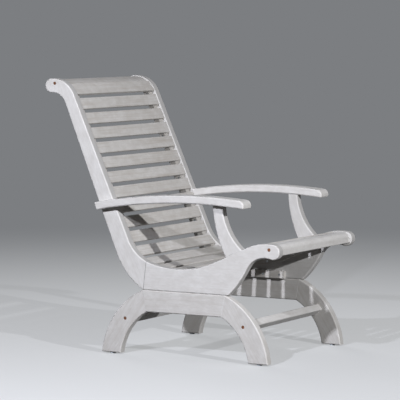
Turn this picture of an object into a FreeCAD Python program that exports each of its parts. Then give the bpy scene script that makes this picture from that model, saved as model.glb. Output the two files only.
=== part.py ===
import FreeCAD, Part
import math
import os

# Slatted patio armchair of painted hardwood, with scrolled side frames on curved legs.
# The chair faces -Y, X runs to the sitter's left and Z is up. Its origin lies on the floor,
# under the middle of its overall length and width.
# Sizes are in millimetres and degrees. Those along Y are set out from the middle between the
# front and rear feet, and the finished chair is then moved to its origin.

# Side frames
frame_width = 610.0          # over the outer faces of the two side frames
side_thickness = 32.0        # board thickness of stiles, seat sides, posts and legs
edge_round = 4.5             # rounding along the outline of each board
joint_gap = 0.4              # open line at a butt joint between two boards

# Legs
glide_height = 5.0           # foot glide below the leg
glide_diameter = 20.0
glide_bevel = 1.2            # bevel round the glide's sole
glide_pin_diameter = 5.0
glide_pin_length = 16.0
leg_arc_y = 48.0             # centre of a leg's arcs, from the middle of the chair
leg_arc_drop = 25.0          # the same centre, below the floor
leg_outer_radius = 285.8
leg_width = 76.3
leg_crown_drop = 24.8        # top of the leg frame, below the crown of the outer arcs
leg_rail_height = 77.5

# Seat side and back stile. Each rise is a height above the top of the leg frame.
seat_low_y = 29.0            # lowest point of the sitting line
seat_low_rise = 80.0
seat_radius = 372.0
bend_radius = 145.0          # between seat and back
back_recline = 24.1          # front edge of the back, from the vertical
back_gauge_rise = 314.0      # level at which the back is set out
back_gauge_y = 286.7         # front edge of the stile at that level
stile_depth = 63.0           # stile, front to rear, at that level
stile_taper = 1.95           # angle between the stile's two edges
head_scroll_y = 546.0
head_scroll_rise = 711.5
head_scroll_radius = 25.0
head_top_radius = 94.0       # round top of the stile
head_throat_radius = 57.0    # hollow under the head scroll
front_rise = 24.6            # slope of the seat towards its front edge
crest_radius = 200.0
front_scroll_y = -348.0
front_scroll_rise = 158.8
front_scroll_radius = 26.5
front_throat_radius = 77.0   # hollow under the front scroll
front_belly_radius = 325.0
front_belly_slope = 42.0     # belly of the seat side where it leaves the leg frame
side_foot_front = 176.0      # flat foot of the side frame, before and behind the middle
side_foot_rear = 166.0
rear_belly_radius = 272.0
stile_joint_top_y = 151.0    # butt joint between back stile and seat side
stile_joint_rise = 96.0
stile_joint_foot_y = 162.0

# Arms
arm_width = 62.5
arm_thickness = 28.0
arm_apex_y = -46.0           # highest point of the bowed underside
arm_apex_rise = 313.7
arm_radius = 2000.0
arm_tip_y = -252.0
arm_nose = 20.0              # rounding of the tip's upper edge
arm_round = 5.0
post_top_rear_y = -114.0
post_top_front_y = -151.3
post_foot_rear_y = -165.5
post_foot_front_y = -228.5
post_rear_radius = 414.0
post_front_radius = 214.5

# Slats and what carries them
slat_recess = 2.5            # slat faces lie this far inside the side frame's edge
slat_thickness = 12.0
slat_width = 42.5
slat_pitch = 56.8
slat_round = 2.5
slat_end_gap = 0.5
head_rail_span = 73.5        # head rail along its face, from the scroll to the first slat
head_rail_gap = 0.5
head_rail_thickness = 26.0
head_rail_recess = 4.0       # its face inside the side frame's edge
head_rail_overrun = 8.0      # head rail past the start of the scroll
front_rail_height = 39.0
front_rail_recess = 3.0      # its upper face inside the side frame's edge
front_rail_depth = 38.0      # least depth of the front rail
front_rail_setback = 11.0    # its front face behind the front of the scrolls
front_rail_nose = 20.0       # rounding of the front rail's upper front edge
rail_round = 4.0
batten_width = 26.0          # battens on the inner faces, under the slat ends
batten_depth = 20.0
cleat_front_y = -108.0       # cleat along the foot of the seat side
cleat_rear_y = 132.0
cleat_height = 27.0
cleat_thickness = 16.0
cleat_round = 2.0

# Stretchers between the legs
stretcher_thickness = 27.0
stretcher_height = 35.0
stretcher_inset = 42.1       # centre of a stretcher, inside the leg's outer edge
stretcher_angle = 39.6

# Fasteners
hole_play = 0.2              # room round a fastener in its hole
bolt_diameter = 6.0
bolt_head_diameter = 12.0
bolt_head_height = 3.0
bolt_head_recess = 1.0       # bolt head below the outer face
bolt_reach = 48.0            # bolt past the inner face of the side frame
bolt_socket = 4.0            # width across flats of the key socket
bolt_socket_depth = 2.0
nut_diameter = 10.0
nut_length = 15.0
nut_inset = 36.0             # barrel nut from the end of its rail
nut_hole_depth = 30.0        # hole of the nut, from the bolt to the open end
screw_diameter = 4.0
screw_head_diameter = 8.0
screw_head_height = 2.6
screw_bite = 9.0             # screw in the slat
side_screw_bite = 10.0       # screw in the side frame
cleat_screw_inset = 19.0     # first cleat screw from the cleat's end
cleat_screw_count = 4
batten_screw_gap_count = 3   # slat gaps from one batten screw to the next
dowel_diameter = 8.0
dowel_length = 44.0
leg_dowel_pitch = 115.0      # dowels between seat side and leg rail
leg_dowel_y = 10.0           # the middle one of them
post_dowel_pitch = 18.0      # dowels between arm and post
arm_screw_length = 52.0
arm_screw_pitch = 24.0
arm_screw_sink = 1.0         # their heads below the stile's inner face
front_bolt_inset = 29.0      # front rail's bolt behind its front face
front_bolt_drop = 16.5       # and below its upper face
head_bolt_angle = 94.8       # head rail's bolt on the arc of the rail
screw_socket = 3.0           # driver socket in a screw head
screw_socket_depth = 1.2

# Values that follow from the sizes above
outer_x = frame_width / 2
inner_x = outer_x - side_thickness
middle_x = outer_x - side_thickness / 2
front_end = front_scroll_y - front_scroll_radius
rear_end = head_scroll_y + head_scroll_radius
origin_y = (front_end + rear_end) / 2
leg_inner_radius = leg_outer_radius - leg_width
stretcher_radius = leg_outer_radius - stretcher_inset
leg_top = leg_outer_radius - leg_arc_drop - leg_crown_drop
leg_rail_foot = leg_top - leg_rail_height
back_gauge_z = leg_top + back_gauge_rise
arm_apex_z = leg_top + arm_apex_rise
head_rail_radius = head_top_radius - head_rail_recess
far_out = 4 * frame_width    # longer than the chair, for cutting blocks
cut_over = 1.0               # cutting blocks stand this far past a board's faces
tiny = 0.01                  # lengths under this count as nothing
same_place = 0.001           # points nearer than this are joined when a hole is drilled
head_scroll = FreeCAD.Vector(0, head_scroll_y, leg_top + head_scroll_rise)
front_scroll = FreeCAD.Vector(0, front_scroll_y, leg_top + front_scroll_rise)
seat_centre = FreeCAD.Vector(0, seat_low_y, leg_top + seat_low_rise + seat_radius)


def point(y, z):
    """A point of the side view."""
    return FreeCAD.Vector(0, y, z)


def heading(angle):
    """Unit vector of the side view at an angle from +Y towards +Z."""
    return point(math.cos(math.radians(angle)), math.sin(math.radians(angle)))


def left_of(vector):
    """The vector turned a quarter turn to the left in the side view."""
    return point(-vector.z, vector.y)


def angle_of(vector):
    return math.atan2(vector.z, vector.y)


def on_line_and_circle(start, along, centre, radius):
    """Where a line from start meets a circle: the first crossing along it."""
    to_centre = start - centre
    half = to_centre.dot(along)
    root = math.sqrt(half * half - to_centre.dot(to_centre) + radius * radius)
    return start + along * (-half - root)


def on_two_circles(first, first_radius, second, second_radius):
    """Where two circles cross, on the left of the line from first to second."""
    between = second - first
    span = between.Length
    reach = (first_radius ** 2 - second_radius ** 2 + span ** 2) / (2 * span)
    rise = math.sqrt(first_radius ** 2 - reach ** 2)
    along = between * (1 / span)
    return first + along * reach + left_of(along) * rise


def foot_on_line(start, along, away):
    """The point of a line that lies nearest to another point."""
    return start + along * (away - start).dot(along)


def towards(centre, target, distance):
    """The point at a distance from centre, in the direction of target."""
    way = target - centre
    return centre + way * (distance / way.Length)


class Line:
    """A straight run of an outline."""

    def __init__(self, start, end):
        self.start = start
        self.end = end
        self.length = (end - start).Length
        self.along = (end - start) * (1 / self.length)

    def at(self, s):
        return self.start + self.along * s, self.along

    def offset(self, distance):
        shift = left_of(self.along) * distance
        return Line(self.start + shift, self.end + shift)

    def reversed(self):
        return Line(self.end, self.start)

    def edge(self):
        return Part.makeLine(self.start, self.end)


class Arc:
    """A round run of an outline, turning left (1) or right (-1) about its centre."""

    def __init__(self, centre, start, end, turn):
        self.centre = centre
        self.start = start
        self.end = end
        self.turn = turn
        self.radius = (start - centre).Length
        self.first = angle_of(start - centre)
        self.sweep = (turn * (angle_of(end - centre) - self.first)) % (2 * math.pi)
        self.length = self.radius * self.sweep

    def at(self, s):
        angle = math.degrees(self.first + self.turn * s / self.radius)
        outward = heading(angle)
        return self.centre + outward * self.radius, left_of(outward) * self.turn

    def offset(self, distance):
        radius = self.radius - self.turn * distance
        start = towards(self.centre, self.start, radius)
        end = towards(self.centre, self.end, radius)
        return Arc(self.centre, start, end, self.turn)

    def reversed(self):
        return Arc(self.centre, self.end, self.start, -self.turn)

    def edge(self):
        middle, _ = self.at(self.length / 2)
        return Part.Arc(self.start, middle, self.end).toShape()


class Path:
    """Tangent lines and arcs in a row."""

    def __init__(self, runs):
        self.runs = runs
        self.length = sum(run.length for run in runs)

    def at(self, s):
        for run in self.runs[:-1]:
            if s <= run.length:
                return run.at(s)
            s -= run.length
        return self.runs[-1].at(s)

    def offset(self, distance):
        return Path([run.offset(distance) for run in self.runs])

    def stretch(self, first, last):
        """The part of the path between two distances along it."""
        runs = []
        begin = 0.0
        for run in self.runs:
            low = max(first - begin, 0.0)
            high = min(last - begin, run.length)
            if high - low > tiny:
                start, _ = run.at(low)
                end, _ = run.at(high)
                if isinstance(run, Line):
                    runs.append(Line(start, end))
                else:
                    runs.append(Arc(run.centre, start, end, run.turn))
            begin += run.length
        return Path(runs)


def board(runs, thickness, x_from):
    """A closed outline of the side view as a board, from x_from towards +X."""
    wire = Part.Wire([run.edge() for run in runs])
    face = Part.Face(wire)
    face.translate(FreeCAD.Vector(x_from, 0, 0))
    return face.extrude(FreeCAD.Vector(thickness, 0, 0))


def polygon(points):
    """The lines round a list of corners."""
    return [Line(a, b) for a, b in zip(points, points[1:] + points[:1])]


def rim_edges(solid):
    """The outline edges on the two flat X faces of a board."""
    levels = (solid.BoundBox.XMin, solid.BoundBox.XMax)
    found = []
    for edge in solid.Edges:
        box = edge.BoundBox
        if box.XLength < tiny and min(abs(box.XMin - level) for level in levels) < tiny:
            found.append(edge)
    return found


def band(path, near, far):
    """The closed outline between two offsets of a path."""
    inner = path.offset(near)
    outer = path.offset(far)
    back = [run.reversed() for run in reversed(outer.runs)]
    joining = Line(inner.runs[-1].end, back[0].start)
    closing = Line(back[-1].end, inner.runs[0].start)
    return inner.runs + [joining] + back + [closing]


# Lines and circles of the side view. The sitting line runs from the head to the front scroll,
# with the wood on its left.
back_down = heading(270 - back_recline)
rear_up = heading(90 - back_recline + stile_taper)
rise_forward = heading(180 - front_rise)
back_gauge = point(back_gauge_y, back_gauge_z)
rear_gauge = point(back_gauge_y + stile_depth, back_gauge_z)

head_centre = on_line_and_circle(
    back_gauge + left_of(back_down) * head_top_radius, back_down * -1,
    head_scroll, head_top_radius - head_scroll_radius)
bend_centre = on_line_and_circle(
    back_gauge - left_of(back_down) * bend_radius, back_down * -1,
    seat_centre, seat_radius - bend_radius)
rise_start = seat_centre + left_of(rise_forward) * seat_radius
crest_centre = on_line_and_circle(
    rise_start + left_of(rise_forward) * crest_radius, rise_forward,
    front_scroll, crest_radius - front_scroll_radius)

head_tangent = towards(head_centre, head_scroll, head_top_radius)
back_top = foot_on_line(back_gauge, back_down, head_centre)
back_foot = foot_on_line(back_gauge, back_down, bend_centre)
bend_end = towards(seat_centre, bend_centre, seat_radius)
rise_end = foot_on_line(rise_start, rise_forward, crest_centre)
front_tangent = towards(crest_centre, front_scroll, crest_radius)

sitting_line = Path([
    Arc(head_centre, head_tangent, back_top, 1),
    Line(back_top, back_foot),
    Arc(bend_centre, back_foot, bend_end, -1),
    Arc(seat_centre, bend_end, rise_start, -1),
    Line(rise_start, rise_end),
    Arc(crest_centre, rise_end, front_tangent, 1),
])


def side_outline():
    """Seat side and back stile as one outline, with the wood on its left."""
    front_corner = point(-side_foot_front, leg_top)
    rear_corner = point(side_foot_rear, leg_top)
    belly_in = left_of(heading(-front_belly_slope))
    belly_centre = front_corner + belly_in * front_belly_radius
    throat_centre = on_two_circles(
        belly_centre, front_belly_radius + front_throat_radius,
        front_scroll, front_scroll_radius + front_throat_radius)
    throat_start = towards(front_scroll, throat_centre, front_scroll_radius)
    belly_start = towards(belly_centre, throat_centre, front_belly_radius)
    rear_belly_centre = on_line_and_circle(
        rear_gauge + left_of(rear_up) * rear_belly_radius, rear_up * -1,
        rear_corner, rear_belly_radius)
    rear_foot = foot_on_line(rear_gauge, rear_up, rear_belly_centre)
    head_throat_centre = on_line_and_circle(
        rear_gauge - left_of(rear_up) * head_throat_radius, rear_up,
        head_scroll, head_throat_radius + head_scroll_radius)
    rear_top = foot_on_line(rear_gauge, rear_up, head_throat_centre)
    head_scroll_start = towards(head_scroll, head_throat_centre, head_scroll_radius)
    return sitting_line.runs + [
        Arc(front_scroll, front_tangent, throat_start, 1),
        Arc(throat_centre, throat_start, belly_start, -1),
        Arc(belly_centre, belly_start, front_corner, 1),
        Line(front_corner, rear_corner),
        Arc(rear_belly_centre, rear_corner, rear_foot, 1),
        Line(rear_foot, rear_top),
        Arc(head_throat_centre, rear_top, head_scroll_start, -1),
        Arc(head_scroll, head_scroll_start, head_tangent, 1),
    ]


def on_rise(y):
    """The point of the seat's front rise at a given y."""
    return rise_start + rise_forward * ((y - rise_start.y) / rise_forward.y)


def bowed(start, end, radius):
    """An arc of a given radius between two points, bulging to the right of the way it runs."""
    centre = on_two_circles(start, radius, end, radius)
    return Arc(centre, start, end, 1)


def post_outline():
    """Arm post, run on into the seat side below and into the arm above."""
    top_z = arm_apex_z + 2 * edge_round
    sunk = left_of(rise_forward) * 2 * edge_round
    front_foot = on_rise(post_foot_front_y)
    rear_foot = on_rise(post_foot_rear_y)
    front_top = point(post_top_front_y, arm_apex_z)
    rear_top = point(post_top_rear_y, arm_apex_z)
    front_tip = point(post_top_front_y, top_z)
    rear_tip = point(post_top_rear_y, top_z)
    return [
        Line(front_foot + sunk, rear_foot + sunk),
        Line(rear_foot + sunk, rear_foot),
        bowed(rear_foot, rear_top, post_rear_radius),
        Line(rear_top, rear_tip),
        Line(rear_tip, front_tip),
        Line(front_tip, front_top),
        bowed(front_foot, front_top, post_front_radius).reversed(),
        Line(front_foot, front_foot + sunk),
    ]


def reach_at(radius, z):
    """How far from the middle between the feet a leg arc of this radius is at a height."""
    return leg_arc_y + math.sqrt(radius ** 2 - (z + leg_arc_drop) ** 2)


# Corners of a leg and of the rail between two legs
toe_y = reach_at(leg_outer_radius, glide_height)
heel_y = reach_at(leg_inner_radius, glide_height)
shoulder_y = reach_at(leg_outer_radius, leg_top)
armpit_y = reach_at(leg_inner_radius, leg_rail_foot)
rear_leg_joint = Line(point(armpit_y, leg_rail_foot), point(shoulder_y, leg_top))
front_leg_joint = Line(point(-shoulder_y, leg_top), point(-armpit_y, leg_rail_foot))


def leg_outline():
    """Both legs of one side and the rail between them, with the wood on its left."""
    rear_centre = point(leg_arc_y, -leg_arc_drop)
    front_centre = point(-leg_arc_y, -leg_arc_drop)
    return [
        Arc(rear_centre, point(toe_y, glide_height), point(shoulder_y, leg_top), 1),
        Line(point(shoulder_y, leg_top), point(-shoulder_y, leg_top)),
        Arc(front_centre, point(-shoulder_y, leg_top), point(-toe_y, glide_height), 1),
        Line(point(-toe_y, glide_height), point(-heel_y, glide_height)),
        Arc(front_centre, point(-heel_y, glide_height), point(-armpit_y, leg_rail_foot), -1),
        Line(point(-armpit_y, leg_rail_foot), point(armpit_y, leg_rail_foot)),
        Arc(rear_centre, point(armpit_y, leg_rail_foot), point(heel_y, glide_height), -1),
        Line(point(heel_y, glide_height), point(toe_y, glide_height)),
    ]


def left_block(start, end, gap, x_from, x_to):
    """A block of everything on the left of a line, kept off it by a gap."""
    along = (end - start) * (1 / (end - start).Length)
    aside = left_of(along)
    base = start + aside * gap
    corners = [
        base - along * far_out,
        base + along * far_out,
        base + along * far_out + aside * far_out,
        base - along * far_out + aside * far_out,
    ]
    return board(polygon(corners), x_to - x_from, x_from)


def side_block(start, end):
    """The same across the thickness of the left side frame, half a joint line off."""
    return left_block(start, end, joint_gap / 2, inner_x - cut_over, outer_x + cut_over)


def rounded_board(shape, joints=()):
    """A board of the side frame with its outline edges rounded, but not those at its joints."""
    edges = []
    for edge in rim_edges(shape):
        middle = point(edge.CenterOfMass.y, edge.CenterOfMass.z)
        gaps = [(foot_on_line(line.start, line.along, middle) - middle).Length for line in joints]
        if min(gaps, default=far_out) > 2 * joint_gap:
            edges.append(edge)
    return shape.makeFillet(edge_round, edges)


front_rail_face = front_end + front_rail_setback
front_rail_top = crest_centre.z + crest_radius - front_rail_recess
front_bolt = point(front_rail_face + front_bolt_inset, front_rail_top - front_bolt_drop)
head_bolt = head_centre + heading(head_bolt_angle) * (head_rail_radius - head_rail_thickness / 2)
stile_joint_top = point(stile_joint_top_y, leg_top + stile_joint_rise)
stile_joint_foot = point(stile_joint_foot_y, leg_top)
arm_centre = point(arm_apex_y, arm_apex_z - arm_radius)
arm_top_radius = arm_radius + arm_thickness
arm_blank_y = rear_gauge.y + arm_thickness      # the arm is cut from a blank of this reach


def upper_side():
    """Back stile, seat side and arm post of the left side."""
    whole = board(side_outline(), side_thickness, inner_x)
    post = board(post_outline(), side_thickness, inner_x)
    whole = rounded_board(whole.fuse(post).removeSplitter())
    stile = whole.common(side_block(stile_joint_top, stile_joint_foot))
    front = whole.common(side_block(stile_joint_foot, stile_joint_top))
    margin = 2 * edge_round
    rear_foot = on_rise(post_foot_rear_y + margin)
    front_foot = on_rise(post_foot_front_y - margin)
    up = left_of(rise_forward) * -1
    corners = [front_foot, rear_foot, rear_foot + up * arm_apex_z, front_foot + up * arm_apex_z]
    post_zone = board(polygon(corners), side_thickness + 2 * cut_over, inner_x - cut_over)
    seat_side = front.cut(post_zone)
    post_zone.translate(up * joint_gap)
    arm_room = board(arm_profile(joint_gap), side_thickness + 2 * cut_over, inner_x - cut_over)
    arm_post = front.common(post_zone).cut(arm_room)
    return stile, seat_side, arm_post


def arm_height(radius, y):
    """Height of one of the arm's bows."""
    return arm_centre.z + math.sqrt(radius ** 2 - (y - arm_apex_y) ** 2)


def arm_profile(below):
    """Side view of the bowed arm from behind the stile to its tip, with room below it."""
    start = point(arm_blank_y, arm_height(arm_top_radius, arm_blank_y))
    end = point(arm_tip_y, arm_height(arm_top_radius, arm_tip_y))
    return band(Path([Arc(arm_centre, start, end, 1)]), 0, arm_thickness + below)


def arm_tip_edges(arm):
    """The edges across the arm's tip, the lowest first."""
    found = [edge for edge in arm.Edges
             if edge.BoundBox.YMax < arm_tip_y + arm_thickness and edge.BoundBox.XLength > tiny]
    return sorted(found, key=lambda edge: edge.CenterOfMass.z)


def arm_rims(arm):
    """Edges along the arm's two sides, apart from its rear end, and the lower edge of its tip."""
    sides = [edge for edge in rim_edges(arm) if edge.BoundBox.YMin < rear_gauge.y - arm_thickness]
    return sides + arm_tip_edges(arm)[:1]


def armrest():
    """Left arm: bowed, with a round nose at its tip, notched round the back stile."""
    arm = board(arm_profile(0), arm_width, inner_x)
    arm = arm.makeFillet(arm_nose, arm_tip_edges(arm)[-1:])
    arm = arm.makeFillet(arm_round, arm_rims(arm))
    arm = arm.common(left_block(rear_gauge, rear_gauge + rear_up, 0,
                                inner_x - cut_over, inner_x + arm_width + cut_over))
    notch = left_block(back_gauge, back_gauge + back_down, -hole_play,
                       inner_x - cut_over, outer_x + hole_play)
    return arm.cut(notch)


def leg_frame():
    """Front leg, leg rail and rear leg of the left side."""
    whole = board(leg_outline(), side_thickness, inner_x)
    rear = rear_leg_joint
    front = front_leg_joint
    rear_leg = whole.common(side_block(rear.end, rear.start))
    front_leg = whole.common(side_block(front.end, front.start))
    rail = whole.common(side_block(rear.start, rear.end)).common(side_block(front.start, front.end))
    return [rounded_board(solid, (rear, front)) for solid in (front_leg, rail, rear_leg)]


def cross_edges(solid):
    """Edges of a cross piece that run from side to side."""
    return [edge for edge in solid.Edges
            if edge.BoundBox.XLength > inner_x and edge.BoundBox.YLength + edge.BoundBox.ZLength < tiny]


def cross_edges_at(solid, corners):
    """Those of them that pass through one of the given corners of the side view."""
    return [edge for edge in cross_edges(solid)
            if min((edge.CenterOfMass - corner).Length for corner in corners) < tiny]


def cross_piece(runs, end_gap, rounding):
    """A piece that spans between the side frames, with its long edges rounded."""
    length = 2 * (inner_x - end_gap)
    solid = board(runs, length, -length / 2)
    return solid.makeFillet(rounding, cross_edges(solid))


face_line = sitting_line.offset(slat_recess)
first_slat = head_rail_span + head_rail_gap
slat_gap = slat_pitch - slat_width
slat_room = face_line.length - front_rail_depth - first_slat - slat_pitch
slat_starts = [first_slat + slat_pitch * i for i in range(int(slat_room // slat_pitch) + 1)]
rail_start = slat_starts[-1] + slat_pitch
front_rail_line = face_line.stretch(rail_start, face_line.length).offset(
    front_rail_recess - slat_recess)
rail_rear, _ = front_rail_line.at(0)
bend_at = sum(run.length for run in face_line.runs[:3])
lumbar_at = sum(run.length for run in face_line.runs[:2])


def slat_axes(start):
    """Middle of a slat's face, its direction and the direction into the wood."""
    middle, along = face_line.at(start + slat_width / 2)
    return middle, along, left_of(along)


def slat(start):
    middle, along, inward = slat_axes(start)
    half = along * (slat_width / 2)
    depth = inward * slat_thickness
    corners = [middle - half, middle + half, middle + half + depth, middle - half + depth]
    return cross_piece(polygon(corners), slat_end_gap, slat_round)


def head_rail():
    """Bowed rail under the head scroll, cut off along the side of the first slat."""
    inner_radius = head_rail_radius - head_rail_thickness
    start, _ = face_line.runs[0].at(-head_rail_overrun)
    outer_start = towards(head_centre, start, head_rail_radius)
    inner_start = towards(head_centre, start, inner_radius)
    middle, along, inward = slat_axes(first_slat)
    beside = middle - along * (slat_width / 2 + head_rail_gap)
    outer_end = on_line_and_circle(beside, inward, head_centre, head_rail_radius)
    inner_end = on_line_and_circle(beside, inward, head_centre, inner_radius)
    runs = [
        Arc(head_centre, outer_start, outer_end, 1),
        Line(outer_end, inner_end),
        Arc(head_centre, inner_end, inner_start, -1),
        Line(inner_start, outer_start),
    ]
    return cross_piece(runs, 0, rail_round)


def front_rail():
    end, along = front_rail_line.at(front_rail_line.length)
    nose = end + along * ((front_rail_face - end.y) / along.y)
    bottom = front_rail_top - front_rail_height
    below = [point(front_rail_face, bottom), point(rail_rear.y, bottom)]
    outline = front_rail_line.runs + polygon([end, nose] + below + [rail_rear])[:-1]
    solid = board(outline, 2 * inner_x, -inner_x)
    solid = solid.makeFillet(front_rail_nose, cross_edges_at(solid, [nose]))
    return solid.makeFillet(rail_round, cross_edges_at(solid, below + [rail_rear]))


def stretcher_centre(side):
    """Middle of the rear (1) or front (-1) stretcher."""
    out = heading(stretcher_angle) * stretcher_radius
    return point(side * (leg_arc_y + out.y), out.z - leg_arc_drop)


def stretcher(side):
    centre = stretcher_centre(side)
    out = heading(stretcher_angle)
    radial = point(side * out.y, out.z) * (stretcher_height / 2)
    around = left_of(radial) * (stretcher_thickness / stretcher_height)
    corners = [centre - radial - around, centre + radial - around,
               centre + radial + around, centre - radial + around]
    return cross_piece(polygon(corners), 0, rail_round)


def batten(first, last):
    """Batten under the slat ends on the left inner face, between two distances."""
    runs = band(face_line.stretch(first, last), slat_thickness, slat_thickness + batten_depth)
    return board(runs, batten_width, inner_x - batten_width)


def cleat():
    corner = FreeCAD.Vector(inner_x - cleat_thickness, cleat_front_y, leg_top)
    block = Part.makeBox(cleat_thickness, cleat_rear_y - cleat_front_y, cleat_height, corner)
    inner = [edge for edge in block.Edges if edge.BoundBox.XMax < corner.x + tiny]
    return block.makeFillet(cleat_round, inner)


def turned(start, along, steps):
    """A round solid built from lengths of given start and end diameters."""
    solids = []
    for first, last, length in steps:
        if abs(first - last) < tiny:
            solids.append(Part.makeCylinder(first / 2, length, start, along))
        else:
            solids.append(Part.makeCone(first / 2, last / 2, length, start, along))
        start = start + along * length
    whole = solids[0]
    for solid in solids[1:]:
        whole = whole.fuse(solid)
    return whole.removeSplitter()


fasteners = {}
holes = []


def mirrored(shape):
    return shape.mirror(FreeCAD.Vector(0, 0, 0), FreeCAD.Vector(1, 0, 0))


def fasten(name, solid, hole):
    """Keep a fastener of the left side, its twin on the right, and both holes."""
    fasteners.setdefault(name, []).extend([solid, mirrored(solid)])
    holes.extend([hole, mirrored(hole)])


def screw(name, start, along, length):
    """Countersunk screw whose head lies flush at start."""
    shank = length - screw_head_height
    wide = screw_head_diameter + 2 * hole_play
    slim = screw_diameter + 2 * hole_play
    solid = turned(start, along, [(screw_head_diameter, screw_diameter, screw_head_height),
                                  (screw_diameter, screw_diameter, shank)])
    socket = Part.makeCylinder(screw_socket / 2, screw_socket_depth, start, along)
    hole = turned(start - along * cut_over, along, [(wide, wide, cut_over),
                                                    (wide, slim, screw_head_height),
                                                    (slim, slim, shank + hole_play)])
    fasten(name, solid.cut(socket), hole)


def dowel(middle, along):
    """Dowel of the left side frame, half in each of two boards."""
    centre = FreeCAD.Vector(middle_x, middle.y, middle.z)
    start = centre - along * (dowel_length / 2)
    wide = dowel_diameter + 2 * hole_play
    solid = Part.makeCylinder(dowel_diameter / 2, dowel_length, start, along)
    hole = Part.makeCylinder(wide / 2, dowel_length + 2 * hole_play, start - along * hole_play, along)
    fasten("frame_dowels", solid, hole)


def joint_dowels(first, last, count):
    """Dowels square through a butt joint that runs from first to last."""
    along = last - first
    across = left_of(along) * (1 / along.Length)
    for i in range(count):
        dowel(first + along * ((i + 1) / (count + 1)), across)


def hexagon(start, along, width, depth):
    """A six-sided key socket."""
    corners = [start + heading(60 * i) * (width / math.sqrt(3)) for i in range(6)]
    face = Part.Face(Part.makePolygon(corners + corners[:1]))
    return face.extrude(along * depth)


def rail_bolt(where, nut_way):
    """Bolt through the left side frame into a rail, and the barrel nut that it draws on."""
    inward = FreeCAD.Vector(-1, 0, 0)
    start = FreeCAD.Vector(outer_x - bolt_head_recess, where.y, where.z)
    shank = side_thickness - bolt_head_recess - bolt_head_height + bolt_reach
    solid = turned(start, inward, [(bolt_head_diameter, bolt_head_diameter, bolt_head_height),
                                   (bolt_diameter, bolt_diameter, shank)])
    solid = solid.cut(hexagon(start, inward, bolt_socket, bolt_socket_depth))
    wide = bolt_head_diameter + 2 * hole_play
    slim = bolt_diameter + 2 * hole_play
    mouth = FreeCAD.Vector(outer_x + cut_over, where.y, where.z)
    sink = cut_over + bolt_head_recess + bolt_head_height
    hole = turned(mouth, inward, [(wide, wide, sink), (slim, slim, shank + hole_play)])
    fasten("frame_bolts", solid, hole)
    centre = FreeCAD.Vector(inner_x - nut_inset, where.y, where.z)
    nut_start = centre - nut_way * (nut_length / 2)
    nut = Part.makeCylinder(nut_diameter / 2, nut_length, nut_start, nut_way)
    nut_room = Part.makeCylinder(nut_diameter / 2 + hole_play, nut_length / 2 + nut_hole_depth,
                                 nut_start - nut_way * hole_play, nut_way)
    fasten("barrel_nuts", nut.cut(hole), nut_room)


def gap_middles(first, last):
    """Middles of the gaps between slats, between two distances along the face line."""
    middles = [start - slat_gap / 2 for start in slat_starts[1:]]
    return [middle for middle in middles if first < middle < last]


def rail_fasteners():
    out = heading(stretcher_angle)
    rail_bolt(stretcher_centre(1), out * -1)
    rail_bolt(stretcher_centre(-1), point(out.y, -out.z))
    rail_bolt(front_bolt, point(0, -1))
    rail_bolt(head_bolt, heading(head_bolt_angle) * -1)


def frame_dowels():
    joint_dowels(stile_joint_foot, stile_joint_top, 2)
    joint_dowels(on_rise(post_foot_rear_y), on_rise(post_foot_front_y), 2)
    joint_dowels(rear_leg_joint.start, rear_leg_joint.end, 2)
    joint_dowels(front_leg_joint.start, front_leg_joint.end, 2)
    for i in (-1, 0, 1):
        dowel(point(leg_dowel_y + i * leg_dowel_pitch, leg_top), point(0, 1))
    post_y = (post_top_rear_y + post_top_front_y) / 2
    for y in (post_y - post_dowel_pitch / 2, post_y + post_dowel_pitch / 2):
        dowel(point(y, arm_height(arm_radius, y)), point(0, 1))


def batten_fasteners():
    """Screws from the battens into the slats, and from the battens into the side frame."""
    for start in slat_starts:
        middle, _, inward = slat_axes(start)
        where = middle + inward * (slat_thickness + batten_depth)
        where.x = inner_x - batten_width / 2
        screw("slat_screws", where, inward * -1, batten_depth + screw_bite)
    middles = gap_middles(first_slat, bend_at)[::batten_screw_gap_count]
    middles += gap_middles(bend_at, rail_start)[::batten_screw_gap_count]
    for s in middles:
        middle, along = face_line.at(s)
        where = middle + left_of(along) * (slat_thickness + batten_depth / 2)
        where.x = inner_x - batten_width
        screw("batten_screws", where, FreeCAD.Vector(1, 0, 0), batten_width + side_screw_bite)


def cleat_fasteners():
    first = cleat_front_y + cleat_screw_inset
    step = (cleat_rear_y - cleat_screw_inset - first) / (cleat_screw_count - 1)
    for i in range(cleat_screw_count):
        where = FreeCAD.Vector(inner_x - cleat_thickness, first + i * step, leg_top + cleat_height / 2)
        screw("cleat_screws", where, FreeCAD.Vector(1, 0, 0), cleat_thickness + side_screw_bite)


def arm_fasteners():
    """Screws through the stile into the arm beside it."""
    level = arm_height(arm_radius, back_gauge_y) + arm_thickness / 2
    front = back_gauge + back_down * ((level - back_gauge_z) / back_down.z)
    for i in (-1, 1):
        y = front.y + stile_depth / 2 + i * arm_screw_pitch / 2
        where = FreeCAD.Vector(inner_x + arm_screw_sink, y, level)
        screw("arm_screws", where, FreeCAD.Vector(1, 0, 0), arm_screw_length)


def foot_glides():
    """Glides pinned under the four feet."""
    foot_y = (toe_y + heel_y) / 2
    up = FreeCAD.Vector(0, 0, 1)
    sole = glide_diameter - 2 * glide_bevel
    wide = glide_pin_diameter + 2 * hole_play
    for side in (1, -1):
        foot = FreeCAD.Vector(middle_x, side * foot_y, 0)
        top = foot + up * glide_height
        glide = turned(foot, up, [(sole, glide_diameter, glide_bevel),
                                  (glide_diameter, glide_diameter, glide_height - glide_bevel),
                                  (glide_pin_diameter, glide_pin_diameter, glide_pin_length)])
        hole = Part.makeCylinder(wide / 2, glide_pin_length + hole_play, top, up)
        fasten("foot_glides", glide, hole)


def drilled(shape):
    """A wooden piece with its fastener holes."""
    meeting = [hole for hole in holes if hole.BoundBox.intersect(shape.BoundBox)]
    return shape.cut(meeting, same_place) if meeting else shape


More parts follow.
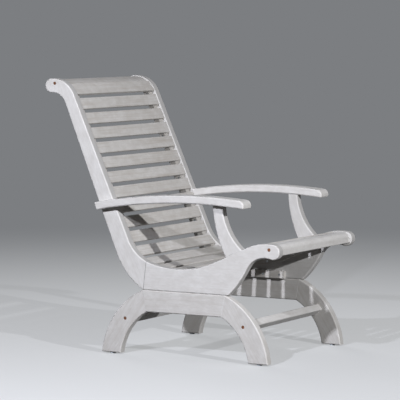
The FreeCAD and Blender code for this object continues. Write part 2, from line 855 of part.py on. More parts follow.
def wooden_pieces():
    """Every wooden piece by name, before drilling."""
    pieces = {}
    slats = []
    for start in slat_starts:
        solid = slat(start)
        slats.append(solid)
        if start == first_slat:
            pieces["head_slat"] = solid
        elif start + slat_width / 2 < (lumbar_at + bend_at) / 2:
            pieces["back_slat_%02d" % (len(slats) - 1)] = solid
        else:
            count = sum(name.startswith("seat_slat") for name in pieces)
            pieces["seat_slat_%02d" % (count + 1)] = solid
    sides = {}
    sides["back_stile"], sides["seat_side"], sides["arm_post"] = upper_side()
    sides["front_leg"], sides["leg_rail"], sides["rear_leg"] = leg_frame()
    sides["armrest"] = armrest()
    sides["back_batten"] = batten(first_slat, bend_at - joint_gap / 2).cut(slats)
    behind_rail = left_block(rail_rear, rail_rear + point(0, -1), joint_gap, 0, outer_x)
    sides["seat_batten"] = batten(bend_at + joint_gap / 2, rail_start).cut(slats).common(behind_rail)
    sides["seat_cleat"] = cleat()
    for name, solid in sides.items():
        pieces[name + "_left"] = solid
        pieces[name + "_right"] = mirrored(solid)
    pieces["head_rail"] = head_rail()
    pieces["front_rail"] = front_rail()
    pieces["rear_stretcher"] = stretcher(1)
    pieces["front_stretcher"] = stretcher(-1)
    return pieces


def keep(name, shape):
    """Move a finished piece to the chair's origin and write it."""
    shape.translate(FreeCAD.Vector(0, -origin_y, 0))
    shape.exportStep("parts/" + name + ".step")


def main():
    os.makedirs("parts", exist_ok=True)
    rail_fasteners()
    frame_dowels()
    batten_fasteners()
    cleat_fasteners()
    arm_fasteners()
    foot_glides()
    for name, solid in wooden_pieces().items():
        keep(name, drilled(solid))
    for name, solids in fasteners.items():
        keep(name, Part.makeCompound(solids))


main()
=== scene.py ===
"""Slatted patio armchair in whitewashed hardwood: finishes for its pieces, and a plain studio."""

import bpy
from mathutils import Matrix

bl_info = {
    "name": "Slatted Patio Armchair",
    "version": (1, 0, 0),
    "blender": (4, 5, 0),
    "location": "View3D > Sidebar > Armchair",
    "description": "Finishes the pieces of a slatted patio armchair and sets up its studio",
    "category": "Object",
}

import math

import bmesh
import bpy
from bpy.props import FloatProperty, FloatVectorProperty, PointerProperty, StringProperty
from mathutils import Euler, Matrix, Vector

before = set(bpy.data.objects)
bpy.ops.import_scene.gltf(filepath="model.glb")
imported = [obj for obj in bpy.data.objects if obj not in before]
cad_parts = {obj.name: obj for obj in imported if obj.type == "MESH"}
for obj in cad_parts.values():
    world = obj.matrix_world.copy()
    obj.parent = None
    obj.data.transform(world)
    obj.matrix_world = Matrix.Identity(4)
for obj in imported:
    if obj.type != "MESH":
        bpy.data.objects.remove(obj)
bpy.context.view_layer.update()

MM = 0.001
ALONG_X = (0.0, 0.0, 0.0)      # turn that lays the grain from side to side

# Grain of the sloping boards in the side view, in degrees from +Y towards +Z
STILE_GRAIN = 66
POST_GRAIN = 67
LEG_GRAIN = 57

# How long each pattern of the wash is along the grain, in widths of that pattern
BLOTCH_LENGTH = 1.5
MOTTLE_LENGTH = 3
STREAK_LENGTH = 40

SENSOR_WIDTH = 36.0            # in millimetres, as the lens is
HALF_PIXEL = 0.5 / 400         # in widths of the image: brings the camera's axis to the middle of a pixel
CLIP_END = 200.0

# Butt joints of the side frames: the foot of each and its normal, in the side view
STILE_JOINT = ((63.75 * MM, 236 * MM), (0.0, 0.9935, 0.1138))
REAR_LEG_JOINT = ((50.8 * MM, 158.5 * MM), (0.0, 0.981, -0.1945))
FRONT_LEG_JOINT = ((-247.3 * MM, 158.5 * MM), (0.0, 0.981, 0.1945))


def side_view(degrees):
    """Turn that lays the grain in the side view, at an angle from +Y towards +Z."""
    return (0.0, -math.radians(degrees), math.radians(90))


def linear(hex_colour):
    """Linear RGBA of an sRGB hex colour."""
    parts = [int(hex_colour[i:i + 2], 16) / 255 for i in (1, 3, 5)]
    return [p / 12.92 if p <= 0.04045 else ((p + 0.055) / 1.055) ** 2.4 for p in parts] + [1.0]


def add(tree, kind, values=None, links=None, **settings):
    """Add a node with its settings, socket values and links."""
    made = tree.nodes.new(kind)
    for name, value in settings.items():
        setattr(made, name, value)
    for socket, value in (values or {}).items():
        made.inputs[socket].default_value = value
    for socket, source in (links or {}).items():
        tree.links.new(source, made.inputs[socket])
    return made


def new_material(name):
    """An empty node material and its tree."""
    material = bpy.data.materials.new(name)
    material.use_nodes = True
    material.node_tree.nodes.clear()
    return material, material.node_tree


def dress(material, *names):
    """Give CAD nodes a material."""
    for name in names:
        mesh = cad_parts[name].data
        mesh.materials.clear()
        mesh.materials.append(material)


def both_sides(name):
    """Names of a side frame's piece on the sitter's left and right."""
    return name + "_left", name + "_right"


def grain_patterns(tree, place, finish, turn):
    """Noise for the blotches of thin wash, the mottles of the brush and the streaks of the grain. The real
    streaks are under 1 mm wide and are drawn wider so that they show."""
    patterns = []
    for width, length, detail in ((finish.blotch, BLOTCH_LENGTH, 2.0), (finish.mottle, MOTTLE_LENGTH, 3.0),
                                  (finish.streak, STREAK_LENGTH, 3.0)):
        board = add(tree, "ShaderNodeMapping", {"Rotation": turn, "Scale": (length * width, width, width)},
                    {"Vector": place}, vector_type="TEXTURE")
        noise = add(tree, "ShaderNodeTexNoise", {"Scale": 1.0, "Detail": detail, "Roughness": 0.6},
                    {"Vector": board.outputs["Vector"]})
        patterns.append(noise.outputs["Fac"])
    return patterns


def paint_face_shade(tree, tone, place, normal, finish, narrow, inner):
    """Paint shade on a side frame's narrow and inner faces: each face is greyed as painted shade by which way
    it points.
    """
    facing = add(tree, "ShaderNodeSeparateXYZ", links={0: normal})
    where = add(tree, "ShaderNodeSeparateXYZ", links={0: place})
    side = add(tree, "ShaderNodeMath", links={0: where.outputs["X"]}, operation="SIGN")
    # One on the outer face, zero on the narrow faces and minus one on the inner face
    outward = add(tree, "ShaderNodeMath", links={0: facing.outputs["X"], 1: side.outputs[0]},
                  operation="MULTIPLY")
    narrow_shade = add(tree, "ShaderNodeMapRange", {"From Min": 0.8, "From Max": 0.3, "To Max": narrow},
                 {"Value": outward.outputs[0]})
    share = add(tree, "ShaderNodeMapRange", {"From Min": -0.3, "From Max": -0.8, "To Max": inner},
                {"Value": outward.outputs[0], "To Min": narrow_shade.outputs["Result"]})
    face_shaded = add(tree, "ShaderNodeMix", {"B": linear(finish.face_shade_tone)},
                 {"Factor": share.outputs["Result"], "A": tone}, data_type="RGBA")
    return face_shaded.outputs["Result"]


def joint_line(tree, tone, place, joint, colour, share, reach):
    """Draw a joint as a line of a colour. Share is how much of it shows, and reach is half its width."""
    (y, z), normal = joint
    aside = add(tree, "ShaderNodeVectorMath", {1: (0, y, z)}, {0: place}, operation="SUBTRACT")
    away = add(tree, "ShaderNodeVectorMath", {1: normal}, {0: aside.outputs["Vector"]},
               operation="DOT_PRODUCT")
    gap = add(tree, "ShaderNodeMath", links={0: away.outputs["Value"]}, operation="ABSOLUTE")
    line = add(tree, "ShaderNodeMapRange", {"From Min": reach, "From Max": 0.0, "To Max": share},
               {"Value": gap.outputs[0]}, interpolation_type="SMOOTHSTEP")
    lined = add(tree, "ShaderNodeMix", {"B": linear(colour)},
                {"Factor": line.outputs["Result"], "A": tone}, data_type="RGBA")
    return lined.outputs["Result"]


def whitewashed_wood(name, finish, turn, wear_and_shade, narrow=0.0, inner=0.0, joints=()):
    """Hardwood under a thin white wash: a satin off-white with soft blotches and faint streaks of the
    grain, with a painted highlight along the rounded edges. Wear is how much wood shows through; set
    high, it also darkens a piece as painted shade. Narrow and inner are how much painted shade greys a
    side frame's narrow and inner faces. Joints holds a joint, its colour, its share and its half width for
    each line to draw."""
    material, tree = new_material(name)
    place = add(tree, "ShaderNodeTexCoord").outputs["Object"]
    normal = add(tree, "ShaderNodeNewGeometry").outputs["Normal"]
    blotches, mottles, streaks = grain_patterns(tree, place, finish, turn)

    # Wash, thinner in blotches and under the brush, then the grain. More of each shows with wear; where the
    # wear is set high, the darker tone is also painted shade.
    least_thin = 0.45 * wear_and_shade
    most_thin = 0.35 + 0.65 * wear_and_shade
    most_brushed = 0.3 + 0.35 * wear_and_shade
    most_grain = 0.08 + 0.42 * wear_and_shade
    thin = add(tree, "ShaderNodeMapRange", {"From Min": 0.3, "From Max": 0.7, "To Min": least_thin,
                                            "To Max": most_thin}, {"Value": blotches})
    washed = add(tree, "ShaderNodeMix", {"A": linear(finish.wash), "B": linear(finish.wash_thin)},
                 {"Factor": thin.outputs["Result"]}, data_type="RGBA")
    brushed = add(tree, "ShaderNodeMapRange", {"From Min": 0.35, "From Max": 0.75, "To Max": most_brushed},
                  {"Value": mottles})
    mottled = add(tree, "ShaderNodeMix", {"B": linear(finish.wash_thin)},
                  {"Factor": brushed.outputs["Result"], "A": washed.outputs["Result"]}, data_type="RGBA")
    shown = add(tree, "ShaderNodeMapRange", {"From Min": 0.45, "From Max": 0.75, "To Max": most_grain},
                {"Value": streaks})
    streaked = add(tree, "ShaderNodeMix", {"B": linear(finish.grain)},
                   {"Factor": shown.outputs["Result"], "A": mottled.outputs["Result"]}, data_type="RGBA")
    tone = streaked.outputs["Result"]
    # Painted shade on a side frame's narrow and inner faces
    if narrow or inner:
        tone = paint_face_shade(tree, tone, place, normal, finish, narrow, inner)

    # Painted highlight: the rounded edges, where a soft normal differs from the true one, are lightened
    # towards the thick wash.
    soft = add(tree, "ShaderNodeBevel", {"Radius": finish.highlight_reach}, samples=6)
    same = add(tree, "ShaderNodeVectorMath", links={0: soft.outputs["Normal"], 1: normal},
               operation="DOT_PRODUCT")
    edge = add(tree, "ShaderNodeMapRange", {"From Min": 1.0, "From Max": 0.9, "To Max": 0.4},
               {"Value": same.outputs["Value"]})
    highlighted = add(tree, "ShaderNodeMix", {"B": linear(finish.edge_highlight_and_joint_wash)},
                {"Factor": edge.outputs["Result"], "A": tone}, data_type="RGBA")
    tone = highlighted.outputs["Result"]
    for joint, colour, share, reach in joints:
        tone = joint_line(tree, tone, place, joint, colour, share, reach)

    rough = add(tree, "ShaderNodeMapRange", {"To Min": 0.5, "To Max": 0.75}, {"Value": mottles})
    bump = add(tree, "ShaderNodeBump", {"Strength": 0.4, "Distance": 0.4 * MM}, {"Height": streaks})
    shader = add(tree, "ShaderNodeBsdfPrincipled", {"IOR": 1.45},
                 {"Base Color": tone, "Roughness": rough.outputs["Result"],
                  "Normal": bump.outputs["Normal"]})
    add(tree, "ShaderNodeOutputMaterial", links={"Surface": shader.outputs["BSDF"]})
    return material


def plain_metal(name, colour, tarnish, grit, low, high):
    """Metal with a fine mottle of tarnish. Grit is the mottle's size, low and high its roughness."""
    material, tree = new_material(name)
    place = add(tree, "ShaderNodeTexCoord").outputs["Object"]
    mottle = add(tree, "ShaderNodeTexNoise", {"Scale": 1 / grit, "Detail": 3.0, "Roughness": 0.6},
                 {"Vector": place})
    share = add(tree, "ShaderNodeMapRange", {"From Min": 0.35, "From Max": 0.7},
                {"Value": mottle.outputs["Fac"]})
    tone = add(tree, "ShaderNodeMix", {"A": linear(colour), "B": linear(tarnish)},
               {"Factor": share.outputs["Result"]}, data_type="RGBA")
    rough = add(tree, "ShaderNodeMapRange", {"To Min": low, "To Max": high},
                {"Value": mottle.outputs["Fac"]})
    bump = add(tree, "ShaderNodeBump", {"Strength": 0.3, "Distance": 0.1 * MM},
               {"Height": mottle.outputs["Fac"]})
    shader = add(tree, "ShaderNodeBsdfPrincipled", {"Metallic": 1.0},
                 {"Base Color": tone.outputs["Result"], "Roughness": rough.outputs["Result"],
                  "Normal": bump.outputs["Normal"]})
    add(tree, "ShaderNodeOutputMaterial", links={"Surface": shader.outputs["BSDF"]})
    return material


class ArmchairFinish(bpy.types.PropertyGroup):
    """Colours and pattern sizes of the finishes."""

    wash: StringProperty(name="Wash", description="White wash on the wood, sRGB hex", default="#DAD9D8")
    wash_thin: StringProperty(name="Thin wash", description="Where the wash is thin, sRGB hex",
                              default="#BBB8B4")
    # Painted highlight along the rounded edges; the same colour also draws the wash that fills the front
    # legs' joints
    edge_highlight_and_joint_wash: StringProperty(name="Thick wash", description="Along the edges, sRGB hex",
                               default="#E2E1E0")
    # Grey of the painted shade on the side frames' narrow and inner faces
    face_shade_tone: StringProperty(name="Worn wash", description="On narrow and inner faces, sRGB hex",
                              default="#9C9B9A")
    grain: StringProperty(name="Grain", description="Streaks of wood that show through, sRGB hex",
                          default="#A59C91")
    joint_dirt: StringProperty(name="Joint dirt", description="Dirt in an open joint, sRGB hex",
                               default="#54504D")
    bronze: StringProperty(name="Bronze", description="Bolts, sRGB hex", default="#A87C62")
    bronze_dark: StringProperty(name="Dark bronze", description="Tarnish on the bolts, sRGB hex",
                                default="#5E3F30")
    zinc: StringProperty(name="Zinc", description="Screws and nuts, sRGB hex", default="#A9ADB0")
    zinc_dull: StringProperty(name="Dull zinc", description="Dulled plating, sRGB hex", default="#7F8488")
    beech: StringProperty(name="Beech", description="Dowels, sRGB hex", default="#D9B48C")
    beech_fleck: StringProperty(name="Beech fleck", description="Flecks in the dowels, sRGB hex",
                                default="#B98D62")
    glide: StringProperty(name="Glide", description="Foot glides, sRGB hex", default="#DDE5EC")
    glide_scuff: StringProperty(name="Scuffs", description="Scuffs on the glides, sRGB hex",
                                default="#B7C0C8")
    bronze_grit: FloatProperty(name="Bronze grit", description="Size of the mottle on the bolts",
                               default=3 * MM, unit="LENGTH")
    zinc_grit: FloatProperty(name="Zinc grit", description="Size of the mottle on the zinc",
                             default=2 * MM, unit="LENGTH")
    fleck: FloatProperty(name="Fleck", description="Size of a fleck in the beech",
                         default=1.5 * MM, unit="LENGTH")
    scuff: FloatProperty(name="Scuff", description="Size of a scuff on a glide",
                         default=4 * MM, unit="LENGTH")
    blotch: FloatProperty(name="Blotch", description="Width of a blotch of thinner wash",
                          default=30 * MM, unit="LENGTH")
    mottle: FloatProperty(name="Mottle", description="Width of a mottle of the brush",
                          default=6 * MM, unit="LENGTH")
    streak: FloatProperty(name="Streak", description="Width of a streak of the grain",
                          default=6 * MM, unit="LENGTH")
    # How far the painted edge highlight reaches
    highlight_reach: FloatProperty(name="Edge reach", description="How far an edge's thick wash reaches",
                              default=3 * MM, unit="LENGTH")
    joint_line: FloatProperty(name="Joint line", description="Half the width of a joint's line",
                              default=1.6 * MM, unit="LENGTH")
    side_wear: FloatProperty(name="Upper sides", description="How much wood shows on the upper side frames",
                             default=0.1, min=0, max=1, subtype="FACTOR")
    # How much painted shade greys the side frames' narrow and inner faces
    narrow_face_shade: FloatProperty(name="Narrow faces",
                               description="How much greyer the upper sides' narrow faces are",
                               default=0.55, min=0, max=1, subtype="FACTOR")
    inner_face_shade: FloatProperty(name="Inner faces", description="How much greyer the sides' inner faces are",
                              default=0.25, min=0, max=1, subtype="FACTOR")
    # Legs darker than the upper sides: partly worn wash, partly painted shade
    leg_wear_and_shade: FloatProperty(name="Legs", description="How much wood shows on the legs and leg rails",
                            default=0.5, min=0, max=1, subtype="FACTOR")
    # Full wear darkens the slats: partly the grain that shows, partly painted shade
    slat_wear_and_shade: FloatProperty(name="Slats", description="How much wood shows on slats and head rail",
                             default=1.0, min=0, max=1, subtype="FACTOR")
    rail_wear: FloatProperty(name="Rails", description="How much wood shows on front rail and stretchers",
                             default=0.1, min=0, max=1, subtype="FACTOR")
    # Full wear darkens the battens and cleats as painted shade, for the shade they sit in under the slats
    batten_painted_shade: FloatProperty(name="Battens", description="How much wood shows on battens and cleats",
                               default=1.0, min=0, max=1, subtype="FACTOR")


class ArmchairStage(bpy.types.PropertyGroup):
    """Floor, light and camera."""

    floor: StringProperty(name="Floor", description="Floor round the chair, sRGB hex", default="#BCBEC0")
    backdrop: StringProperty(name="Backdrop", description="Floor and background far away, sRGB hex",
                             default="#7C7E81")
    paper: StringProperty(name="Paper", description="The part of the floor that takes the shadow, sRGB hex",
                          default="#9C9D9F")
    paper_glow: FloatProperty(name="Paper glow", description="The part of the floor that takes no shadow",
                              default=0.72, min=0, max=1, subtype="FACTOR")
    paper_return: StringProperty(name="Returned light", description="Floor as it lights the chair, sRGB hex",
                                 default="#3A3836")
    fade_start: FloatProperty(name="Fade start", description="Where the floor starts to fade",
                              default=1.0, unit="LENGTH")
    fade_end: FloatProperty(name="Fade end", description="Where the floor has faded into the backdrop",
                            default=5.0, unit="LENGTH")
    room_light: FloatVectorProperty(name="Room light", description="Dim light from all round",
                                    default=(0.016, 0.012, 0.010), subtype="COLOR")
    floor_reach: FloatProperty(name="Floor reach", description="Half the width of the floor",
                               default=60.0, unit="LENGTH")
    side_power: FloatProperty(name="Side lamp", description="Lamp on the sitter's right",
                              default=475.0, min=0, unit="POWER")
    side_place: FloatVectorProperty(name="Side lamp's place", description="Place of the side lamp",
                                    default=(-3.56, -0.19, 2.09), subtype="TRANSLATION")
    side_tint: FloatVectorProperty(name="Side lamp's tint", description="Colour of the side lamp",
                                   default=(0.91, 0.925, 1.0), subtype="COLOR")
    front_power: FloatProperty(name="Front lamp", description="Lamp before the chair",
                               default=925.0, min=0, unit="POWER")
    front_place: FloatVectorProperty(name="Front lamp's place", description="Place of the front lamp",
                                     default=(-2.12, -4.95, 2.1), subtype="TRANSLATION")
    front_tint: FloatVectorProperty(name="Front lamp's tint", description="Colour of the front lamp",
                                    default=(0.98, 0.985, 1.0), subtype="COLOR")
    lamp_radius: FloatProperty(name="Lamp radius", description="Radius of the side and front lamps",
                               default=0.05, min=0, unit="LENGTH")
    rear_light: FloatProperty(name="Rear light", description="Soft light from behind, W/m2",
                              default=1.4, min=0)
    rear_from: FloatVectorProperty(name="Rear light from", description="Direction to the rear light",
                                   default=(0.55, 0.8, 0.25), subtype="DIRECTION")
    rear_spread: FloatProperty(name="Rear spread", description="How wide the rear light looks",
                               default=math.radians(25), subtype="ANGLE")
    camera_place: FloatVectorProperty(name="Camera", description="Place of the camera",
                                      default=(-7.37273, -4.06366, 1.20625), subtype="TRANSLATION")
    camera_azimuth: FloatProperty(name="Azimuth", description="Camera's turn about the upright",
                                  default=-1.066741, subtype="ANGLE")
    camera_elevation: FloatProperty(name="Elevation", description="Camera's tilt down",
                                    default=0.079753, subtype="ANGLE")
    camera_roll: FloatProperty(name="Roll", description="Camera's turn about its own axis",
                               default=0.004705, subtype="ANGLE")
    camera_lens: FloatProperty(name="Lens", description="Focal length in millimetres on a 36 mm sensor",
                               default=210.436, min=1, unit="CAMERA")


class ARMCHAIR_OT_side_frames(bpy.types.Operator):
    """Whitewash the boards of the two side frames, with the grain along each board"""

    bl_idname = "armchair.side_frames"
    bl_label = "Side frames"

    def execute(self, context):
        finish = context.scene.armchair_finish
        upper = finish.side_wear
        # The legs and leg rails take more wear: worn wash, and a darker tone that is also painted shade
        lower = finish.leg_wear_and_shade
        # Joint, colour, share of it and half width: the stile's joint is open and dirty, the rear leg's is
        # closer, and wash fills the front leg's.
        stile = (STILE_JOINT, finish.joint_dirt, 0.8, finish.joint_line)
        rear = (REAR_LEG_JOINT, finish.joint_dirt, 0.15, finish.joint_line)
        front = (FRONT_LEG_JOINT, finish.edge_highlight_and_joint_wash, 0.25, 2 * finish.joint_line)
        # Painted shade: the legs' narrow faces are as white as the broad ones, and their inner faces half as
        # grey.
        narrow = finish.narrow_face_shade
        inner = finish.inner_face_shade
        for piece, degrees, wear_and_shade, narrow_shade, inner_shade, joints in (
                ("back_stile", STILE_GRAIN, upper, narrow, inner, [stile]),
                ("seat_side", 0, upper, narrow, inner, [stile]),
                ("arm_post", POST_GRAIN, upper, narrow, inner, []),
                ("leg_rail", 0, lower, 0.0, inner / 2, [rear, front]),
                ("front_leg", LEG_GRAIN, lower, 0.0, inner / 2, [front]),
                ("rear_leg", -LEG_GRAIN, lower, 0.0, inner / 2, [rear])):
            wood = whitewashed_wood("whitewashed_hardwood_" + piece, finish, side_view(degrees), wear_and_shade,
                                    narrow_shade, inner_shade, joints)
            dress(wood, *both_sides(piece))
        return {"FINISHED"}


class ARMCHAIR_OT_arms(bpy.types.Operator):
    """Whitewash the bowed arms, with the grain from front to rear"""

    bl_idname = "armchair.arms"
    bl_label = "Arms"

    def execute(self, context):
        finish = context.scene.armchair_finish
        wood = whitewashed_wood("whitewashed_hardwood_arm", finish, side_view(0), finish.side_wear)
        dress(wood, *both_sides("armrest"))
        return {"FINISHED"}


class ARMCHAIR_OT_slats(bpy.types.Operator):
    """Whitewash the head rail and the slats of back and seat, with the grain from side to side"""

    bl_idname = "armchair.slats"
    bl_label = "Slats"

    def execute(self, context):
        finish = context.scene.armchair_finish
        # The slats and head rail take full wear: more grain shows, and their darker tone is also painted
        # shade
        wood = whitewashed_wood("whitewashed_hardwood_slat", finish, ALONG_X, finish.slat_wear_and_shade)
        dress(wood, "head_rail", "head_slat", *[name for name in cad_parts
                                                if name.startswith(("back_slat", "seat_slat"))])
        return {"FINISHED"}


class ARMCHAIR_OT_rails(bpy.types.Operator):
    """Whitewash the front rail and the stretchers between the legs"""

    bl_idname = "armchair.rails"
    bl_label = "Front rail and stretchers"

    def execute(self, context):
        finish = context.scene.armchair_finish
        wood = whitewashed_wood("whitewashed_hardwood_rail", finish, ALONG_X, finish.rail_wear)
        dress(wood, "front_rail", "front_stretcher", "rear_stretcher")
        return {"FINISHED"}


class ARMCHAIR_OT_battens(bpy.types.Operator):
    """Whitewash the battens and cleats on the inner faces of the side frames, darkened as painted shade"""

    bl_idname = "armchair.battens"
    bl_label = "Battens and cleats"

    def execute(self, context):
        finish = context.scene.armchair_finish
        for piece, degrees in (("back_batten", STILE_GRAIN), ("seat_batten", 0), ("seat_cleat", 0)):
            wood = whitewashed_wood("whitewashed_hardwood_" + piece, finish, side_view(degrees),
                                    finish.batten_painted_shade)
            dress(wood, *both_sides(piece))
        return {"FINISHED"}


class ARMCHAIR_OT_fasteners(bpy.types.Operator):
    """Finish the bolts, nuts, screws and dowels"""

    bl_idname = "armchair.fasteners"
    bl_label = "Fasteners"

    def execute(self, context):
        finish = context.scene.armchair_finish
        # Bronzed steel: a brown plating that has worn to copper, dull and a little rusty.
        bronze = plain_metal("bronzed_steel", finish.bronze, finish.bronze_dark, finish.bronze_grit,
                             low=0.45, high=0.7)
        dress(bronze, "frame_bolts")
        # Zinc-plated steel: bluish grey, cloudy where the plating has dulled.
        zinc = plain_metal("zinc_plated_steel", finish.zinc, finish.zinc_dull, finish.zinc_grit,
                           low=0.3, high=0.5)
        dress(zinc, "barrel_nuts", "slat_screws", "batten_screws", "cleat_screws", "arm_screws")
        # Beech dowel: pale and pinkish, with fine darker flecks.
        material, tree = new_material("beech_dowel")
        place = add(tree, "ShaderNodeTexCoord").outputs["Object"]
        flecks = add(tree, "ShaderNodeTexNoise", {"Scale": 1 / finish.fleck, "Detail": 2.0},
                     {"Vector": place})
        tone = add(tree, "ShaderNodeMix", {"A": linear(finish.beech), "B": linear(finish.beech_fleck)},
                   {"Factor": flecks.outputs["Fac"]}, data_type="RGBA")
        rough = add(tree, "ShaderNodeMapRange", {"To Min": 0.5, "To Max": 0.75},
                    {"Value": flecks.outputs["Fac"]})
        shader = add(tree, "ShaderNodeBsdfPrincipled", {"IOR": 1.5},
                     {"Base Color": tone.outputs["Result"], "Roughness": rough.outputs["Result"]})
        add(tree, "ShaderNodeOutputMaterial", links={"Surface": shader.outputs["BSDF"]})
        dress(material, "frame_dowels")
        return {"FINISHED"}


class ARMCHAIR_OT_glides(bpy.types.Operator):
    """Finish the foot glides"""

    bl_idname = "armchair.glides"
    bl_label = "Foot glides"

    def execute(self, context):
        finish = context.scene.armchair_finish
        # Moulded polyethylene: milky, bluish white and softly shiny, scuffed from the floor.
        material, tree = new_material("moulded_polyethylene")
        place = add(tree, "ShaderNodeTexCoord").outputs["Object"]
        scuffs = add(tree, "ShaderNodeTexNoise", {"Scale": 1 / finish.scuff, "Detail": 4.0, "Roughness": 0.7},
                     {"Vector": place})
        share = add(tree, "ShaderNodeMapRange", {"From Min": 0.45, "From Max": 0.7},
                    {"Value": scuffs.outputs["Fac"]})
        tone = add(tree, "ShaderNodeMix", {"A": linear(finish.glide), "B": linear(finish.glide_scuff)},
                   {"Factor": share.outputs["Result"]}, data_type="RGBA")
        rough = add(tree, "ShaderNodeMapRange", {"To Min": 0.3, "To Max": 0.55},
                    {"Value": scuffs.outputs["Fac"]})
        shader = add(tree, "ShaderNodeBsdfPrincipled", {"IOR": 1.51},
                     {"Base Color": tone.outputs["Result"], "Roughness": rough.outputs["Result"]})
        add(tree, "ShaderNodeOutputMaterial", links={"Surface": shader.outputs["BSDF"]})
        dress(material, "foot_glides")
        return {"FINISHED"}


def seen_rays(tree):
    """One for rays from the camera, in a reflection or through glass, zero for the light's own rays."""
    path = add(tree, "ShaderNodeLightPath")
    mirrored = add(tree, "ShaderNodeMath", links={0: path.outputs["Is Camera Ray"],
                                                  1: path.outputs["Is Glossy Ray"]}, operation="MAXIMUM")
    either = add(tree, "ShaderNodeMath", links={0: mirrored.outputs[0],
                                                1: path.outputs["Is Transmission Ray"]}, operation="MAXIMUM")
    return either.outputs[0]


def lamp(name, kind, energy, colour, **settings):
    """Add a lamp that the camera doesn't see."""
    light = bpy.data.lights.new(name, kind)
    light.energy = energy
    light.color = colour
    for key, value in settings.items():
        setattr(light, key, value)
    made = bpy.data.objects.new(name, light)
    made.visible_camera = False
    bpy.context.scene.collection.objects.link(made)
    return made


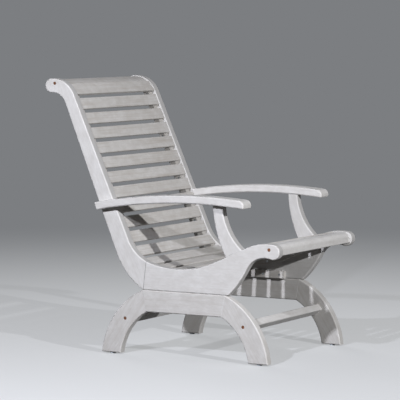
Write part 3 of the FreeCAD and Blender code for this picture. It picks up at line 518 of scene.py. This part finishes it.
class ARMCHAIR_OT_stage(bpy.types.Operator):
    """Lay the floor, set the lamps and place the camera"""

    bl_idname = "armchair.stage"
    bl_label = "Stage"

    def execute(self, context):
        stage = context.scene.armchair_stage
        scene = context.scene
        scene.view_settings.view_transform = "Standard"
        self.lay_floor(scene, stage)
        self.light(scene, stage)
        self.place_camera(scene, stage)
        return {"FINISHED"}

    def lay_floor(self, scene, stage):
        """Lay a wide sheet of paper under the chair."""
        shape = bmesh.new()
        bmesh.ops.create_grid(shape, x_segments=2, y_segments=2, size=stage.floor_reach)
        mesh = bpy.data.meshes.new("floor")
        shape.to_mesh(mesh)
        shape.free()
        floor = bpy.data.objects.new("floor", mesh)
        scene.collection.objects.link(floor)
        # Matt studio paper: even and pale to the eye, fading into the background far from the chair.
        material, tree = new_material("matt_paper")
        place = add(tree, "ShaderNodeTexCoord").outputs["Object"]
        away = add(tree, "ShaderNodeVectorMath", links={0: place}, operation="LENGTH")
        far = add(tree, "ShaderNodeMapRange", {"From Min": stage.fade_start, "From Max": stage.fade_end},
                  {"Value": away.outputs["Value"]}, interpolation_type="SMOOTHSTEP")
        glow = add(tree, "ShaderNodeEmission", {"Color": linear(stage.floor), "Strength": stage.paper_glow})
        paper = add(tree, "ShaderNodeBsdfDiffuse", {"Color": linear(stage.paper)})
        near = add(tree, "ShaderNodeAddShader", links={0: glow.outputs[0], 1: paper.outputs[0]})
        distant = add(tree, "ShaderNodeEmission", {"Color": linear(stage.backdrop)})
        seen = add(tree, "ShaderNodeMixShader", links={0: far.outputs["Result"], 1: near.outputs[0],
                                                       2: distant.outputs[0]})
        unseen = add(tree, "ShaderNodeBsdfDiffuse", {"Color": linear(stage.paper_return)})
        mixed = add(tree, "ShaderNodeMixShader", links={0: seen_rays(tree), 1: unseen.outputs[0],
                                                        2: seen.outputs[0]})
        add(tree, "ShaderNodeOutputMaterial", links={"Surface": mixed.outputs[0]})
        mesh.materials.append(material)

    def light(self, scene, stage):
        """Set the two lamps that cast the shadows, the soft light from behind and the background."""
        side = lamp("side_lamp", "POINT", stage.side_power, stage.side_tint,
                    shadow_soft_size=stage.lamp_radius)
        side.location = stage.side_place
        front = lamp("front_lamp", "POINT", stage.front_power, stage.front_tint,
                     shadow_soft_size=stage.lamp_radius)
        front.location = stage.front_place
        rear = lamp("rear_lamp", "SUN", stage.rear_light, (1.0, 1.0, 1.0), angle=stage.rear_spread)
        rear.rotation_euler = Vector(stage.rear_from).to_track_quat("Z", "Y").to_euler()
        world = bpy.data.worlds.new("studio")
        world.use_nodes = True
        tree = world.node_tree
        tree.nodes.clear()
        dim = add(tree, "ShaderNodeBackground", {"Color": (*stage.room_light, 1.0)})
        pale = add(tree, "ShaderNodeBackground", {"Color": linear(stage.backdrop)})
        mixed = add(tree, "ShaderNodeMixShader", links={0: seen_rays(tree), 1: dim.outputs[0],
                                                        2: pale.outputs[0]})
        add(tree, "ShaderNodeOutputWorld", links={"Surface": mixed.outputs[0]})
        scene.world = world

    def place_camera(self, scene, stage):
        """Look at the chair from the sitter's right and front, a little from above, through a long lens."""
        camera = bpy.data.cameras.new("camera")
        camera.lens = stage.camera_lens
        camera.sensor_width = SENSOR_WIDTH
        camera.shift_x = -HALF_PIXEL
        camera.shift_y = HALF_PIXEL
        camera.clip_end = CLIP_END
        made = bpy.data.objects.new("camera", camera)
        aim = Euler((math.pi / 2 - stage.camera_elevation, 0, stage.camera_azimuth)).to_matrix()
        aim = aim @ Matrix.Rotation(stage.camera_roll, 3, "Z")
        made.matrix_world = Matrix.Translation(stage.camera_place) @ aim.to_4x4()
        scene.collection.objects.link(made)
        scene.camera = made


class ARMCHAIR_PT_panel(bpy.types.Panel):
    """Steps and settings of the armchair"""

    bl_idname = "ARMCHAIR_PT_panel"
    bl_label = "Patio armchair"
    bl_space_type = "VIEW_3D"
    bl_region_type = "UI"
    bl_category = "Armchair"

    def draw(self, context):
        for group in (context.scene.armchair_finish, context.scene.armchair_stage):
            column = self.layout.column()
            for name in group.__annotations__:
                column.prop(group, name)
        for step in STEPS:
            self.layout.operator(step.bl_idname)


STEPS = (ARMCHAIR_OT_side_frames, ARMCHAIR_OT_arms, ARMCHAIR_OT_slats, ARMCHAIR_OT_rails,
         ARMCHAIR_OT_battens, ARMCHAIR_OT_fasteners, ARMCHAIR_OT_glides, ARMCHAIR_OT_stage)
GROUPS = (ArmchairFinish, ArmchairStage)


def register():
    for kind in GROUPS + STEPS + (ARMCHAIR_PT_panel,):
        bpy.utils.register_class(kind)
    bpy.types.Scene.armchair_finish = PointerProperty(type=ArmchairFinish)
    bpy.types.Scene.armchair_stage = PointerProperty(type=ArmchairStage)


def unregister():
    del bpy.types.Scene.armchair_stage
    del bpy.types.Scene.armchair_finish
    for kind in reversed(GROUPS + STEPS + (ARMCHAIR_PT_panel,)):
        bpy.utils.unregister_class(kind)


def main():
    register()
    bpy.ops.armchair.side_frames()
    bpy.ops.armchair.arms()
    bpy.ops.armchair.slats()
    bpy.ops.armchair.rails()
    bpy.ops.armchair.battens()
    bpy.ops.armchair.fasteners()
    bpy.ops.armchair.glides()
    bpy.ops.armchair.stage()


if __name__ == "__main__":
    main()
